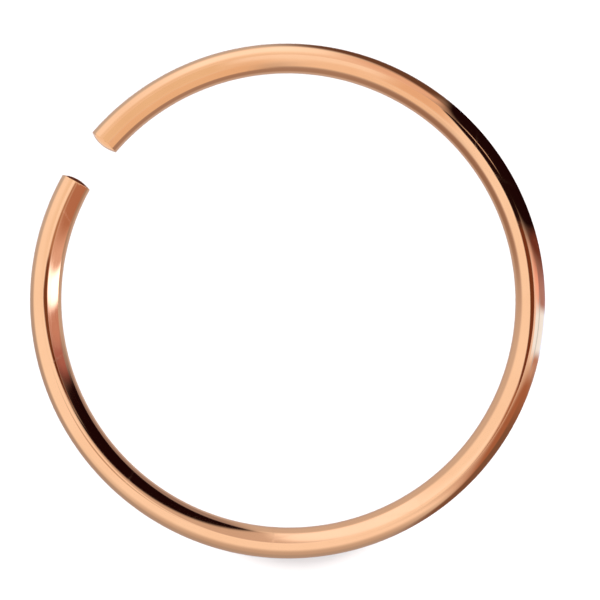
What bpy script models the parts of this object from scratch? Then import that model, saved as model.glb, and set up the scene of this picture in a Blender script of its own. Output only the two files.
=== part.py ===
"""Plain open nose hoop: one length of round rose gold wire bent into a ring, with a gap between its two polished ends.

The hoop lies on its side on the plane z = 0, round the Z axis, and the origin is on that plane at the hoop's centre.
Lengths are in metres and angles in radians.
"""

import math

import bpy

# The wire, and the ring that it is bent into
WIRE_DIAMETER = 0.00064
INSIDE_DIAMETER = 0.0100
GAP = 0.00091  # between the middles of the two ends, along the wire's centreline
GAP_DIRECTION = math.radians(146.6)  # of the gap's middle, anticlockwise from +X seen from above

# The cut ends: a shallow polished dome inside a rim whose edge is broken
END_DOME_RADIUS = 0.0007
END_EDGE_RADIUS = 0.000025
END_TIP_SHARE = 0.16  # the small flat in the middle of a dome, as a share of the wire's radius

# How finely the round shapes are faceted
WIRE_SIDES = 24  # a multiple of 4, so that the wire has a flat underneath, on top, inside and outside
RING_STEP = math.radians(3.6)
EDGE_STEPS = 3
DOME_STEPS = 5

ROSE_GOLD_COLOUR = (0.93, 0.56, 0.36, 1.0)
ROSE_GOLD_ROUGHNESS = 0.12

# The sizes that follow from those
wire_radius = WIRE_DIAMETER / 2
ring_radius = INSIDE_DIAMETER / 2 + wire_radius  # to the wire's centreline


def clear_scene():
    for old in list(bpy.data.objects):
        bpy.data.objects.remove(old, do_unlink=True)


def rose_gold():
    material = bpy.data.materials.new("rose_gold")
    material.use_nodes = True
    shader = material.node_tree.nodes["Principled BSDF"]
    shader.inputs["Base Color"].default_value = ROSE_GOLD_COLOUR
    shader.inputs["Metallic"].default_value = 1.0
    shader.inputs["Roughness"].default_value = ROSE_GOLD_ROUGHNESS
    return material


def end_profile():
    """How a wire's end narrows: (distance back from its tip, radius there), from the tip to where the wire is full.

    The dome is part of a sphere, and the broken edge is an arc that meets both the dome and the wire's side smoothly.
    """
    rim_radius = (wire_radius - END_EDGE_RADIUS) / (1 - END_EDGE_RADIUS / END_DOME_RADIUS)
    rim_slope = math.asin(rim_radius / END_DOME_RADIUS)
    tip_slope = math.asin(END_TIP_SHARE * wire_radius / END_DOME_RADIUS)
    tip_depth = END_DOME_RADIUS * (1 - math.cos(tip_slope))

    profile = []
    for step in range(DOME_STEPS + 1):
        slope = tip_slope + (rim_slope - tip_slope) * step / DOME_STEPS
        depth = END_DOME_RADIUS * (1 - math.cos(slope)) - tip_depth
        profile.append((depth, END_DOME_RADIUS * math.sin(slope)))

    rim_depth = profile[-1][0]
    edge_centre_depth = rim_depth + END_EDGE_RADIUS * math.cos(rim_slope)
    for step in range(1, EDGE_STEPS + 1):
        slope = rim_slope + (math.pi / 2 - rim_slope) * step / EDGE_STEPS
        depth = edge_centre_depth - END_EDGE_RADIUS * math.cos(slope)
        radius = wire_radius - END_EDGE_RADIUS + END_EDGE_RADIUS * math.sin(slope)
        profile.append((depth, radius))
    return profile


def wire_stations():
    """(angle round the ring, radius of the wire there), from one end of the wire anticlockwise to the other."""
    half_gap = GAP / 2 / ring_radius
    first_tip = GAP_DIRECTION + half_gap
    last_tip = GAP_DIRECTION - half_gap + 2 * math.pi
    ends = [(depth / ring_radius, radius) for depth, radius in end_profile()]
    shoulder = ends[-1][0]

    full_span = last_tip - first_tip - 2 * shoulder
    steps = math.ceil(full_span / RING_STEP)
    stations = [(first_tip + turn, radius) for turn, radius in ends]
    for step in range(1, steps):
        stations.append((first_tip + shoulder + full_span * step / steps, wire_radius))
    stations += [(last_tip - turn, radius) for turn, radius in reversed(ends)]
    return stations


def make_hoop(collection):
    """The wire as a bevelled curve: a point's radius narrows it at its ends, and the caps close the tips."""
    half_side = math.pi / WIRE_SIDES
    curve = bpy.data.curves.new("hoop", "CURVE")
    curve.dimensions = "3D"
    curve.twist_mode = "Z_UP"
    curve.bevel_resolution = (WIRE_SIDES - 4) // 2
    curve.bevel_depth = 1 / math.cos(half_side)  # the flats, not the corners, lie on the round wire
    curve.use_fill_caps = True

    stations = wire_stations()
    spline = curve.splines.new("POLY")
    spline.points.add(len(stations) - 1)
    for point, (angle, radius) in zip(spline.points, stations):
        point.co = (ring_radius * math.cos(angle), ring_radius * math.sin(angle), wire_radius, 1)
        point.radius = radius
        point.tilt = half_side

    hoop = bpy.data.objects.new("hoop", curve)
    hoop.data.materials.append(rose_gold())
    collection.objects.link(hoop)
    return hoop


clear_scene()
parts = bpy.data.collections.new("nose_hoop")
bpy.context.scene.collection.children.link(parts)
make_hoop(parts)
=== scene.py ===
"""A plain rose gold nose hoop, lying on a pale table in a white studio, seen almost from above.

Lengths are in metres and angles in radians. The hoop lies round the Z axis, on the table at z = 0.
"""

import math
from collections import namedtuple

import bmesh
import bpy
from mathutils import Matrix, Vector


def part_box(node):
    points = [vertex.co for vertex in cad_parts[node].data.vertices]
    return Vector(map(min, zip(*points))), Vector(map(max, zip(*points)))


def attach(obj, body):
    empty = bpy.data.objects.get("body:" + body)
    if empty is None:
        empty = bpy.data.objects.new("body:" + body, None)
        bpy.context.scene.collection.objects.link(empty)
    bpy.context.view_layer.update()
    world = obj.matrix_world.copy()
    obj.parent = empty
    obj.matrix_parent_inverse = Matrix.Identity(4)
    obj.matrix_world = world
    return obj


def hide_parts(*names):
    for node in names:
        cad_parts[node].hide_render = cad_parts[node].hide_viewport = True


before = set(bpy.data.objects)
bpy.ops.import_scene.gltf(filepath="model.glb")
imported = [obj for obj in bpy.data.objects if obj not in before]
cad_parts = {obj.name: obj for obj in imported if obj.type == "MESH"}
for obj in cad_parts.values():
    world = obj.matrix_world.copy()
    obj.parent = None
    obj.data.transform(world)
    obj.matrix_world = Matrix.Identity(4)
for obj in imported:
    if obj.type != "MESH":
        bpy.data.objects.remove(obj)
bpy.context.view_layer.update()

# The hoop is one length of hard round rose gold wire, wound round a mandrel into a circle that lies flat.
# Its two ends are cut square, polished to a shallow dome with the sharp edge taken off, and left a little
# apart. The wire is polished all over, with faint draw lines along it and a few hairline scratches.

hoop_low, hoop_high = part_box("hoop")
WIRE_RADIUS = (hoop_high.z - hoop_low.z) / 2
RING_RADIUS = (hoop_high.x - hoop_low.x) / 2 - WIRE_RADIUS  # to the wire's centreline
GAP = 0.00091  # between the middles of the two ends, along the centreline
GAP_DIRECTION = math.radians(146.6)  # anticlockwise from +X, seen from above
END_DOME_RADIUS = 0.0007
END_EDGE_RADIUS = 0.000025

RING_STEPS = 600  # stations along the wire
WIRE_SIDES = 64
DOME_STEPS = 12
EDGE_STEPS = 6


def end_profile():
    """How an end narrows: (distance back from its tip, radius there), from beside the tip outwards."""
    rim_radius = (WIRE_RADIUS - END_EDGE_RADIUS) / (1 - END_EDGE_RADIUS / END_DOME_RADIUS)
    rim_slope = math.asin(rim_radius / END_DOME_RADIUS)
    profile = []
    for step in range(1, DOME_STEPS + 1):
        slope = rim_slope * step / DOME_STEPS
        profile.append((END_DOME_RADIUS * (1 - math.cos(slope)), END_DOME_RADIUS * math.sin(slope)))

    edge_centre = profile[-1][0] + END_EDGE_RADIUS * math.cos(rim_slope)
    for step in range(1, EDGE_STEPS + 1):
        slope = rim_slope + (math.pi / 2 - rim_slope) * step / EDGE_STEPS
        depth = edge_centre - END_EDGE_RADIUS * math.cos(slope)
        profile.append((depth, WIRE_RADIUS - END_EDGE_RADIUS + END_EDGE_RADIUS * math.sin(slope)))
    return profile


def wire_point(angle, radius, around):
    """A point of the wire: angle round the ring, and around the wire from its outer side over the top."""
    out = RING_RADIUS + radius * math.cos(around)
    return (out * math.cos(angle), out * math.sin(angle), WIRE_RADIUS + radius * math.sin(around))


def make_wire():
    """The wire as one closed mesh, with a UV map that runs along it and around it, both from 0 to 1."""
    first_tip = GAP_DIRECTION + GAP / 2 / RING_RADIUS
    last_tip = GAP_DIRECTION - GAP / 2 / RING_RADIUS + 2 * math.pi
    narrowing = [(depth / RING_RADIUS, radius) for depth, radius in end_profile()]
    start, stop = first_tip + narrowing[-1][0], last_tip - narrowing[-1][0]
    stations = [(first_tip + turn, radius) for turn, radius in narrowing]
    stations += [(start + (stop - start) * step / RING_STEPS, WIRE_RADIUS) for step in range(1, RING_STEPS)]
    stations += [(last_tip - turn, radius) for turn, radius in reversed(narrowing)]

    mesh = bmesh.new()
    uv = mesh.loops.layers.uv.new("wire")
    # The seam is underneath, where the wire touches the table
    sides = [2 * math.pi * side / WIRE_SIDES - math.pi / 2 for side in range(WIRE_SIDES)]
    rings = [
        [mesh.verts.new(wire_point(angle, radius, around)) for around in sides] for angle, radius in stations
    ]
    along = [(angle - first_tip) / (last_tip - first_tip) for angle, _ in stations]
    for here in range(len(rings) - 1):
        ring, following = rings[here], rings[here + 1]
        for side in range(WIRE_SIDES):
            after = (side + 1) % WIRE_SIDES
            face = mesh.faces.new((ring[side], following[side], following[after], ring[after]))
            places = ((here, side), (here + 1, side), (here + 1, side + 1), (here, side + 1))
            for loop, (station, turned) in zip(face.loops, places):
                loop[uv].uv = (along[station], turned / WIRE_SIDES)
    for tip_angle, ring in ((first_tip, rings[0]), (last_tip, rings[-1])):
        tip = mesh.verts.new(wire_point(tip_angle, 0, 0))
        for side in range(WIRE_SIDES):
            mesh.faces.new((tip, ring[side], ring[(side + 1) % WIRE_SIDES]))
    bmesh.ops.recalc_face_normals(mesh, faces=mesh.faces)

    data = bpy.data.meshes.new("hoop_wire")
    mesh.to_mesh(data)
    mesh.free()
    data.shade_smooth()
    wire = bpy.data.objects.new("hoop_wire", data)
    bpy.context.scene.collection.objects.link(wire)
    return wire


def add_node(tree, kind, inputs=(), **settings):
    """Adds a shader node. Inputs are (socket, value) pairs, and a value may be another node's output."""
    node = tree.nodes.new(kind)
    for name, value in settings.items():
        setattr(node, name, value)
    for socket, value in inputs:
        if isinstance(value, bpy.types.NodeSocket):
            tree.links.new(value, node.inputs[socket])
        else:
            node.inputs[socket].default_value = value
    return node


ROSE_GOLD = (0.94, 0.53, 0.295, 1)
ROSE_GOLD_PALER = (0.96, 0.555, 0.315, 1)
ROUGHNESS = (0.05, 0.11)  # between the draw lines and on them
DRAW_LINES = (6, 90, 1)  # how many streaks lie along the wire and around it, about
DRAW_DETAIL = 2
DRAW_RANGE = (0.3, 0.7)  # of the streaks' noise
CLOUDS = 900.0  # per metre
CLOUD_DETAIL = 3
CLOUD_RANGE = (0.35, 0.65)  # of the clouds' noise
SCRATCHES = 260.0  # per metre
SCRATCH_WIDTH = 0.012
SCRATCH_ROUGHNESS = 0.1
BUMP_STRENGTH = 0.03
BUMP_HEIGHT = 0.000004


def rose_gold():
    """Polished alloy: cloudy in tone, streaked along the wire by drawing, with sparse fine scratches."""
    material = bpy.data.materials.new("polished_rose_gold")
    material.use_nodes = True
    tree = material.node_tree
    shader = tree.nodes["Principled BSDF"]
    shader.inputs["Metallic"].default_value = 1.0

    coordinates = add_node(tree, "ShaderNodeTexCoord").outputs
    cloud = add_node(
        tree, "ShaderNodeTexNoise",
        [("Vector", coordinates["Object"]), ("Scale", CLOUDS), ("Detail", CLOUD_DETAIL)],
    )
    tone = add_node(tree, "ShaderNodeValToRGB", [("Fac", cloud.outputs["Fac"])])
    for stop, position, colour in zip(tone.color_ramp.elements, CLOUD_RANGE, (ROSE_GOLD, ROSE_GOLD_PALER)):
        stop.position = position
        stop.color = colour
    tree.links.new(tone.outputs["Color"], shader.inputs["Base Color"])

    along = add_node(
        tree, "ShaderNodeVectorMath", [(0, coordinates["UV"]), (1, DRAW_LINES)], operation="MULTIPLY",
    )
    drawn = add_node(
        tree, "ShaderNodeTexNoise",
        [("Vector", along.outputs["Vector"]), ("Scale", 1.0), ("Detail", DRAW_DETAIL)],
    ).outputs["Fac"]
    gloss = add_node(
        tree, "ShaderNodeMapRange",
        [
            ("Value", drawn), ("From Min", DRAW_RANGE[0]), ("From Max", DRAW_RANGE[1]),
            ("To Min", ROUGHNESS[0]), ("To Max", ROUGHNESS[1]),
        ],
    ).outputs["Result"]

    cracks = add_node(
        tree, "ShaderNodeTexVoronoi", [("Vector", coordinates["Object"]), ("Scale", SCRATCHES)],
        feature="DISTANCE_TO_EDGE",
    ).outputs["Distance"]
    scratch = add_node(
        tree, "ShaderNodeMapRange", [("Value", cracks), ("From Min", SCRATCH_WIDTH), ("From Max", 0.0)],
    ).outputs["Result"]
    faint = add_node(tree, "ShaderNodeMath", [(0, scratch), (1, SCRATCH_ROUGHNESS)], operation="MULTIPLY")
    rough = add_node(tree, "ShaderNodeMath", [(0, gloss), (1, faint.outputs["Value"])], operation="ADD")
    tree.links.new(rough.outputs["Value"], shader.inputs["Roughness"])

    cut = add_node(tree, "ShaderNodeMath", [(0, drawn), (1, scratch)], operation="SUBTRACT").outputs["Value"]
    bump = add_node(
        tree, "ShaderNodeBump",
        [("Height", cut), ("Strength", BUMP_STRENGTH), ("Distance", BUMP_HEIGHT)],
    )
    tree.links.new(bump.outputs["Normal"], shader.inputs["Normal"])
    return material


hoop = make_wire()
hoop.data.materials.append(rose_gold())
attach(hoop, "root")
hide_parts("hoop")
# It neither mirrors itself nor tints or shades the table. The faint shadow there is a flag's, further down.
hoop.visible_glossy = hoop.visible_diffuse = hoop.visible_shadow = False

# The table is a smooth sheet of matt white card, much larger than the hoop. It is lit until it is white to
# the camera. The polished wire doesn't mirror it, because the studio's lower half stands in for it there.

TABLE_SIZE = 3.0
TABLE_WHITE = (0.85, 0.83, 0.805, 1)
TABLE_WHITER = (0.87, 0.85, 0.825, 1)
TABLE_ROUGHNESS = 0.7
PAPER_GRAIN = 4000.0  # per metre
GRAIN_DETAIL = 4
FIBRE_STRENGTH = 0.1
FIBRE_HEIGHT = 0.00002
MIX_FACTOR, MIX_FIRST, MIX_SECOND, MIX_RESULT = 0, 6, 7, 2  # the sockets of a Mix node that are for colours


def mix_colours(tree, factor, first, second):
    """The first colour where the factor is 0, and the second where it is 1."""
    mixed = add_node(
        tree, "ShaderNodeMix", [(MIX_FACTOR, factor), (MIX_FIRST, first), (MIX_SECOND, second)],
        data_type="RGBA",
    )
    return mixed.outputs[MIX_RESULT]


bpy.ops.mesh.primitive_plane_add(size=TABLE_SIZE)
table = bpy.context.object
table.name = "table"
white_card = bpy.data.materials.new("white_card")
white_card.use_nodes = True
card_tree = white_card.node_tree
surface = card_tree.nodes["Principled BSDF"]
grain = add_node(
    card_tree, "ShaderNodeTexNoise", [("Scale", PAPER_GRAIN), ("Detail", GRAIN_DETAIL)],
).outputs["Fac"]
paper = mix_colours(card_tree, grain, TABLE_WHITE, TABLE_WHITER)
card_tree.links.new(paper, surface.inputs["Base Color"])
fibres = add_node(
    card_tree, "ShaderNodeBump",
    [("Height", grain), ("Strength", FIBRE_STRENGTH), ("Distance", FIBRE_HEIGHT)],
)
card_tree.links.new(fibres.outputs["Normal"], surface.inputs["Normal"])
surface.inputs["Roughness"].default_value = TABLE_ROUGHNESS
surface.inputs["Specular IOR Level"].default_value = 0.0
table.data.materials.append(white_card)
table.visible_glossy = False

# The studio is a white tent, dimmer in front of the hoop and down at the table. Large cards of other colours
# hang far off. They are set so that the inside of the hoop mirrors them where the real one has its bands of
# dark and light. The camera sees the tent plain white.

# A card's corners are in order, as (azimuth, angle from the zenith). A colour over 1 is brighter than white.
Card = namedtuple("Card", "colour softness corners")
TENT = (1.03, 1.05, 1.1)
TENT_IN_FRONT = (0.58, 0.56, 0.57)
TABLE_BEHIND = (0.66, 0.66, 0.7)
TABLE_IN_FRONT = (0.4, 0.33, 0.32)
TABLE_BESIDE = (0.58, 0.57, 0.6)  # close to the wire
BLACK = (0.012, 0.003, 0.004)
FRONT_FADE = (-0.45, -0.95)  # where the tent dims towards the front, in a direction's Y
TABLE_FADE = (0.3, -0.3)  # where the table's back gives way to its front, in Y
BESIDE_FADE = (-0.6, -0.85)  # where the table close to the wire begins, in Z
HORIZON_FADE = (0.26, -0.2)  # where the tent gives way to the table, in Z
FAR_CARDS = (  # angles and softness in degrees
    Card((0.95, 0.88, 0.83), 9, ((-130, 22), (-84, 22), (-84, 80), (-130, 80))),
    Card((0.33, 0.25, 0.23), 18, ((-170, 90), (-112, 90), (-112, 138), (-170, 138))),
    Card((1.22, 1.27, 1.45), 7, ((82, 8), (118, 8), (118, 86), (82, 86))),
    Card((0.86, 0.74, 0.62), 6, ((-78, 25), (-30, 12), (-30, 96), (-78, 96))),
    Card((0.66, 0.61, 0.62), 2.5, ((36, 13), (81, 13), (81, 86), (36, 86))),
    Card((0.78, 0.60, 0.60), 2, ((-14, 14), (4, 14), (-2, 112), (-14, 112))),
    Card((0.47, 0.25, 0.19), 4, ((-31, 14), (-2, 14), (-11, 112), (-31, 112))),
    Card((0.60, 0.36, 0.35), 2, ((6, 14), (16, 14), (15, 112), (4, 112))),
    Card((0.42, 0.19, 0.20), 2, ((15, 14), (26, 14), (24, 112), (14, 112))),
    Card((0.36, 0.33, 0.37), 5, ((14, 100), (76, 90), (70, 140), (14, 140))),
    Card(BLACK, 3, ((23, 18), (78, 86), (74, 98), (46, 112), (21, 118))),
    Card((2.2, 2.6, 3.4), 1.5, ((3, 22), (9.5, 22), (4.5, 118), (-3.5, 118))),
)


def ramp(tree, value, start, stop):
    """0 at the start and 1 at the stop, with a smooth step between; the start may be the larger."""
    step = add_node(
        tree, "ShaderNodeMapRange", [("Value", value), ("From Min", start), ("From Max", stop)],
        interpolation_type="SMOOTHSTEP",
    )
    return step.outputs["Result"]


def put_over(tree, colour, over, mask):
    """Lays one colour over another where the mask is 1."""
    if not isinstance(colour, bpy.types.NodeSocket):
        colour = (*colour, 1)
    if not isinstance(over, bpy.types.NodeSocket):
        over = (*over, 1)
    return mix_colours(tree, mask, colour, over)


def towards(azimuth, from_zenith):
    """The direction at an azimuth and an angle from the zenith, both in degrees."""
    level = math.sin(math.radians(from_zenith))
    turn = math.radians(azimuth)
    return Vector((level * math.cos(turn), level * math.sin(turn), math.cos(math.radians(from_zenith))))


def inside_of(tree, place, corners, soft, flat=False):
    """1 where a direction, or a place (x, y, 1) on a flat sheet, is inside the corners, with soft edges."""
    middle = sum(corners, Vector((0, 0, 0)))
    mask = 1.0
    for corner, following in zip(corners, corners[1:] + corners[:1]):
        inwards = corner.cross(following)
        inwards /= inwards.xy.length if flat else inwards.length
        if inwards.dot(middle) < 0:
            inwards.negate()
        inside = add_node(tree, "ShaderNodeVectorMath", [(0, place), (1, inwards)], operation="DOT_PRODUCT")
        edge = ramp(tree, inside.outputs["Value"], -soft, soft)
        mask = add_node(tree, "ShaderNodeMath", [(0, mask), (1, edge)], operation="MULTIPLY").outputs["Value"]
    return mask


def studio_light(tree, direction, table_behind, table_in_front, table_beside, cards):
    """The studio's light from each direction: the tent, the table below it, and cards with straight edges."""
    parts = add_node(tree, "ShaderNodeSeparateXYZ", [("Vector", direction)])
    light = put_over(tree, TENT, TENT_IN_FRONT, ramp(tree, parts.outputs["Y"], *FRONT_FADE))
    low = put_over(tree, table_behind, table_in_front, ramp(tree, parts.outputs["Y"], *TABLE_FADE))
    low = put_over(tree, low, table_beside, ramp(tree, parts.outputs["Z"], *BESIDE_FADE))
    light = put_over(tree, light, low, ramp(tree, parts.outputs["Z"], *HORIZON_FADE))
    for studio_card in cards:
        corners = [towards(*corner) for corner in studio_card.corners]
        mask = inside_of(tree, direction, corners, math.sin(math.radians(studio_card.softness)))
        light = put_over(tree, light, studio_card.colour, mask)
    return light


world = bpy.data.worlds.new("studio")
bpy.context.scene.world = world
world.use_nodes = True
sky = world.node_tree
sky.nodes.clear()
look = add_node(sky, "ShaderNodeTexCoord").outputs["Generated"]
far_light = studio_light(sky, look, TABLE_BEHIND, TABLE_IN_FRONT, TABLE_BESIDE, FAR_CARDS)
to_camera = add_node(sky, "ShaderNodeLightPath").outputs["Is Camera Ray"]
tent = add_node(sky, "ShaderNodeBackground", [("Color", put_over(sky, far_light, (1, 1, 1), to_camera))])
add_node(sky, "ShaderNodeOutputWorld", [("Surface", tent.outputs["Background"])])

# A low wall stands close round the hoop. It glows with the tent's light and with cards of its own, which are
# painted reflections on the hoop's outer side. Only what mirrors from near by shows it, which is the hoop's
# outer side, and nothing else in the picture sees it.

WALL_RADIUS = 1.075 * RING_RADIUS
WALL_HEIGHT = 0.6 * RING_RADIUS
WALL_SIDES = 256
REFLECTION_REACH = 0.7 * RING_RADIUS  # no mirror sees the glowing wall and strips from further off
SEEN_FROM_RADIUS = 1.012 * RING_RADIUS  # where on the wire the wall is mirrored, about
SEEN_FROM_HEIGHT = 0.111 * RING_RADIUS
# The glowing wall's painted reflection of the table outside the hoop: behind it, in front of it, and by the
# wall.
REFLECTED_TABLE_BEHIND = (0.58, 0.62, 0.68)
REFLECTED_TABLE_IN_FRONT = (0.46, 0.46, 0.49)
REFLECTED_TABLE_BY_WALL = (0.8, 0.84, 0.95)
WALL_REFLECTION_CARDS = (  # glowing patches on the wall, painted reflections; angles and softness in degrees, as the wire's outer side sees the wall
    Card((1.18, 1.27, 1.42), 8, ((86, 22), (120, 22), (120, 78), (86, 78))),
    Card((0.88, 0.80, 0.70), 12, ((96, 2), (156, 2), (156, 32), (96, 32))),
    Card((0.84, 0.68, 0.64), 5, ((45, 4), (74, 4), (78, 60), (45, 60))),
    Card((0.14, 0.08, 0.06), 9, ((50, 44), (92, 94), (92, 122), (45, 122))),
    Card((0.39, 0.19, 0.13), 7, ((-45, 8), (2, 8), (-11, 35), (-14, 60), (-14, 150), (-50, 150))),
    Card((0.21, 0.13, 0.10), 7, ((-40, 62), (-28, 62), (-26, 150), (-68, 150), (-62, 92))),
    Card((0.95, 0.72, 0.62), 3, ((-12, 28), (-4, 26), (-8, 52), (-13, 52))),
    Card((0.52, 0.35, 0.34), 3, ((-18, 50), (-10, 50), (-10, 150), (-17, 150))),
    Card((0.90, 0.78, 0.95), 4, ((-6, 8), (6, 8), (6, 50), (-6, 50))),
    Card((0.45, 0.32, 0.40), 5, ((-6, 47), (9, 42), (12, 150), (-6, 150))),
    Card((1.05, 0.68, 0.72), 3, ((2, 14), (13, 12), (10, 50), (0, 50))),
    Card((0.16, 0.055, 0.045), 5, ((7, 26), (20, 12), (20, 150), (5, 150))),
    Card(BLACK, 2, ((16, 2), (51.8, 2), (51.5, 150), (15, 150))),
    Card((1.0, 0.92, 0.88), 0.6, ((33, 8), (45, 8), (45, 12.5), (33, 12.5))),
    Card((0.95, 1.4, 2.1), 1.5, ((-13.5, 23), (-2, 21), (-4, 150), (-13.5, 150))),
    Card((0.60, 0.88, 1.3), 3, ((-16, 52), (-1, 52), (-1, 61), (-16, 61))),
)


def within_reach(tree, reach):
    """1 for what is nearer than the reach to the mirror that sees it, and 0 beyond."""
    length = add_node(tree, "ShaderNodeLightPath").outputs["Ray Length"]
    return add_node(tree, "ShaderNodeMath", [(0, length), (1, reach)], operation="LESS_THAN").outputs["Value"]


def glow_of(piece, light_of, *given):
    """Gives a piece a light of its own that only mirrors see. light_of makes its colour and its cover."""
    paint = bpy.data.materials.new(piece.name)
    paint.use_nodes = True
    tree = paint.node_tree
    tree.nodes.clear()
    colour, cover = light_of(tree, *given)
    glow = add_node(tree, "ShaderNodeEmission", [("Color", colour)]).outputs["Emission"]
    nothing = add_node(tree, "ShaderNodeBsdfTransparent").outputs["BSDF"]
    shade = add_node(tree, "ShaderNodeMixShader", [(0, cover), (1, nothing), (2, glow)])
    add_node(tree, "ShaderNodeOutputMaterial", [("Surface", shade.outputs["Shader"])])
    piece.data.materials.append(paint)
    piece.visible_camera = piece.visible_diffuse = piece.visible_shadow = False


def wall_reflection_glow(tree):
    """The wall's glow, a painted reflection: the studio's light in the direction that runs from the wire's
    outer side to the wall.
    """
    place = add_node(tree, "ShaderNodeTexCoord").outputs["Object"]
    out = 1 - SEEN_FROM_RADIUS / WALL_RADIUS
    scaled = add_node(tree, "ShaderNodeVectorMath", [(0, place), (1, (out, out, 1))], operation="MULTIPLY")
    across = add_node(
        tree, "ShaderNodeVectorMath", [(0, scaled.outputs["Vector"]), (1, (0, 0, SEEN_FROM_HEIGHT))],
        operation="SUBTRACT",
    )
    direction = add_node(tree, "ShaderNodeVectorMath", [(0, across.outputs["Vector"])], operation="NORMALIZE")
    light = studio_light(
        tree, direction.outputs["Vector"],
        REFLECTED_TABLE_BEHIND, REFLECTED_TABLE_IN_FRONT, REFLECTED_TABLE_BY_WALL, WALL_REFLECTION_CARDS,
    )
    return light, within_reach(tree, REFLECTION_REACH)


bpy.ops.mesh.primitive_cylinder_add(
    vertices=WALL_SIDES, radius=WALL_RADIUS, depth=WALL_HEIGHT, end_fill_type="NOTHING", location=(0, 0, 0),
)
wall = bpy.context.object
wall.name = "reflection_wall"
for vert in wall.data.vertices:
    vert.co.z += WALL_HEIGHT / 2
glow_of(wall, wall_reflection_glow)

# A clear sheet hangs close over the hoop, with glowing strips on it that only mirrors near by see. They are
# painted reflections: the wire's crest mirrors the strip above it, pale ones at the top, a black one at the
# upper right, and brown ones at the right and left.

FILM_HEIGHT = 0.5 * RING_RADIUS
FILM_RADIUS = 1.075 * RING_RADIUS
FILM_SIDES = 256
CREST_REFLECTION_STRIPS = (  # corners as (azimuth in degrees, distance from the centre in ring radii); softness in ring radii
    Card((0.85, 0.70, 0.60), 0.12, ((46, 0.6), (68, 0.6), (68, 1.3), (46, 1.3))),
    Card((0.87, 0.80, 0.68), 0.12, ((102, 0.6), (160, 0.6), (160, 1.3), (102, 1.3))),
    Card((0.39, 0.20, 0.13), 0.08, ((-48, 1.08), (-23, 0.91), (-10, 1.05), (-14, 1.2), (-48, 1.2))),
    Card(
        (0.17, 0.055, 0.025), 0.04,
        ((-21, 0.96), (-8, 0.865), (2, 0.815), (22, 0.83), (22, 1.07), (-21, 1.1)),
    ),
    Card(BLACK, 0.02, ((18, 0.85), (33, 0.84), (44, 0.885), (51, 1.03), (51.5, 1.2), (18, 1.2))),
    Card(
        (0.5, 0.38, 0.3), 0.03,
        ((-164, 1.0), (-140, 0.97), (-110, 0.86), (-110, 0.93), (-140, 1.05), (-164, 1.06)),
    ),
    Card((0.14, 0.04, 0.015), 0.04, ((-184, 0.79), (-160, 0.72), (-150, 0.72), (-158, 0.86), (-184, 1.03))),
    Card((0.45, 0.27, 0.19), 0.05, ((-212, 0.80), (-180, 0.78), (-180, 0.98), (-212, 0.92))),
    Card(
        (0.18, 0.07, 0.035), 0.04,
        ((-191, 0.82), (-180, 0.79), (-168, 0.76), (-168, 0.89), (-180, 1.02), (-191, 0.98)),
    ),
)


def crest_reflection_glow(tree):
    """The glowing strips on the sheet, painted reflections for the wire's crest. A place is (azimuth,
    distance out, 1), and the azimuth jumps at the gap.
    """
    place = add_node(tree, "ShaderNodeTexCoord").outputs["Object"]
    parts = add_node(tree, "ShaderNodeSeparateXYZ", [("Vector", place)]).outputs
    turn = add_node(tree, "ShaderNodeMath", [(0, parts["Y"]), (1, parts["X"])], operation="ARCTAN2")
    length = add_node(tree, "ShaderNodeVectorMath", [(0, place)], operation="LENGTH")
    out = add_node(
        tree, "ShaderNodeMath", [(0, length.outputs["Value"]), (1, RING_RADIUS)], operation="DIVIDE",
    )
    where = add_node(
        tree, "ShaderNodeCombineXYZ", [("X", turn.outputs["Value"]), ("Y", out.outputs["Value"]), ("Z", 1.0)],
    ).outputs["Vector"]
    light = TENT
    cover = 0.0
    for strip in CREST_REFLECTION_STRIPS:
        corners = [
            Vector((math.radians(azimuth) - GAP_DIRECTION + math.pi, distance, 1))
            for azimuth, distance in strip.corners
        ]
        mask = inside_of(tree, where, corners, strip.softness, flat=True)
        light = put_over(tree, light, strip.colour, mask)
        widest = add_node(tree, "ShaderNodeMath", [(0, cover), (1, mask)], operation="MAXIMUM")
        cover = widest.outputs["Value"]
    near = within_reach(tree, REFLECTION_REACH)
    mirrored = add_node(tree, "ShaderNodeMath", [(0, cover), (1, near)], operation="MULTIPLY")
    return light, mirrored.outputs["Value"]


bpy.ops.mesh.primitive_circle_add(
    vertices=FILM_SIDES, radius=FILM_RADIUS, fill_type="NGON", location=(0, 0, FILM_HEIGHT),
    rotation=(0, 0, GAP_DIRECTION - math.pi),
)
glowing_sheet = bpy.context.object
glowing_sheet.name = "glowing_sheet"
glow_of(glowing_sheet, crest_reflection_glow)

# A small glowing card stands close to each end of the wire. Only mirrors near by see it, and it paints
# reflections on the end's dome and edge: a dark brown one by the end on the left, and a pale one by the end
# at the top.

END_CARD_REACH = 0.12 * RING_RADIUS  # no mirror sees them from further off
END_CARD_DISTANCE = 0.03  # from the tip, as a turn round the ring
END_CARD_SIZE = 0.17 * RING_RADIUS
BROWN_REFLECTION = (0.10, 0.04, 0.03)
PALE_REFLECTION = (0.95, 0.88, 0.8)
half_gap_turn = GAP / 2 / RING_RADIUS


def end_card_glow(tree, colour):
    """The card's glow, one colour all over: a painted reflection for what mirrors the card from near by."""
    return (*colour, 1), within_reach(tree, END_CARD_REACH)


for name, turn, colour in (
    ("brown_reflection_card", half_gap_turn - END_CARD_DISTANCE, BROWN_REFLECTION),
    ("pale_reflection_card", END_CARD_DISTANCE - half_gap_turn, PALE_REFLECTION),
):
    turned = GAP_DIRECTION + turn
    bpy.ops.mesh.primitive_plane_add(
        size=END_CARD_SIZE,
        location=(RING_RADIUS * math.cos(turned), RING_RADIUS * math.sin(turned), END_CARD_SIZE / 2),
        rotation=(math.pi / 2, 0, turned),
    )
    end_card = bpy.context.object
    end_card.name = name
    glow_of(end_card, end_card_glow, colour)

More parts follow.
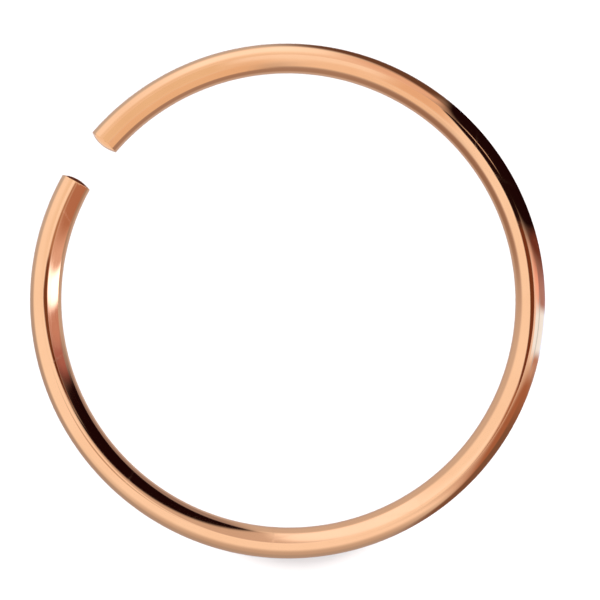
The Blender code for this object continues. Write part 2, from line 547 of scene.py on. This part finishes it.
# The key light is a large soft lamp high up behind the hoop. It lights the table, and nothing mirrors it.

KEY_STRENGTH = 1.9
KEY_FROM_ZENITH = math.radians(32)
KEY_WIDTH = math.radians(40)

key = bpy.data.objects.new("key", bpy.data.lights.new("key", "SUN"))
key.data.energy = KEY_STRENGTH
key.data.angle = KEY_WIDTH
key.rotation_euler = (-KEY_FROM_ZENITH, 0, 0)
key.visible_glossy = False
bpy.context.scene.collection.objects.link(key)

# A narrow dark flag, which nothing sees, hangs just over the front of the hoop. It keeps some of the key
# light off the table there, which makes the faint shadow along the hoop's front edge.

FLAG_HEIGHT = 0.08 * RING_RADIUS
FLAG_FROM = math.radians(-114)
FLAG_TO = math.radians(-60)
FLAG_INSIDE = 0.95 * RING_RADIUS
FLAG_OUTSIDE = (0.97 * RING_RADIUS, 1.07 * RING_RADIUS)  # at its two points, and at its widest
FLAG_STEPS = 24

rim = []
for step in range(FLAG_STEPS + 1):
    angle = FLAG_FROM + (FLAG_TO - FLAG_FROM) * step / FLAG_STEPS
    bulge = math.sin(math.pi * step / FLAG_STEPS)
    rim.append((angle, FLAG_OUTSIDE[0] + (FLAG_OUTSIDE[1] - FLAG_OUTSIDE[0]) * bulge))
rim += [(angle, FLAG_INSIDE) for angle, _ in reversed(rim)]
rim_points = [(out * math.cos(angle), out * math.sin(angle), FLAG_HEIGHT) for angle, out in rim]
flag_mesh = bpy.data.meshes.new("flag")
flag_mesh.from_pydata(rim_points, [], [range(len(rim_points))])
flag = bpy.data.objects.new("flag", flag_mesh)
bpy.context.scene.collection.objects.link(flag)
flag.visible_camera = flag.visible_diffuse = flag.visible_glossy = False

# The camera looks almost straight down from close by, a little left of the hoop's centre and in front of it.

CAMERA_PLACE = Vector((-0.187, -0.179, 3.0)) * RING_RADIUS + Vector((0, 0, WIRE_RADIUS))
CAMERA_TILT = math.radians(3.13)
CAMERA_ROLL = math.radians(-4.06)
SENSOR_WIDTH = 36.0  # mm
LENS = 43.8  # mm
NEAREST_SEEN = 0.0005
FURTHEST_SEEN = 10.0

camera = bpy.data.objects.new("camera", bpy.data.cameras.new("camera"))
bpy.context.scene.collection.objects.link(camera)
camera.location = CAMERA_PLACE
camera.rotation_mode = "YXZ"
camera.rotation_euler = (CAMERA_TILT, CAMERA_ROLL, 0)
camera.data.sensor_width = SENSOR_WIDTH
camera.data.lens = LENS
camera.data.clip_start = NEAREST_SEEN
camera.data.clip_end = FURTHEST_SEEN
bpy.context.scene.camera = camera
bpy.context.scene.view_settings.view_transform = "Standard"
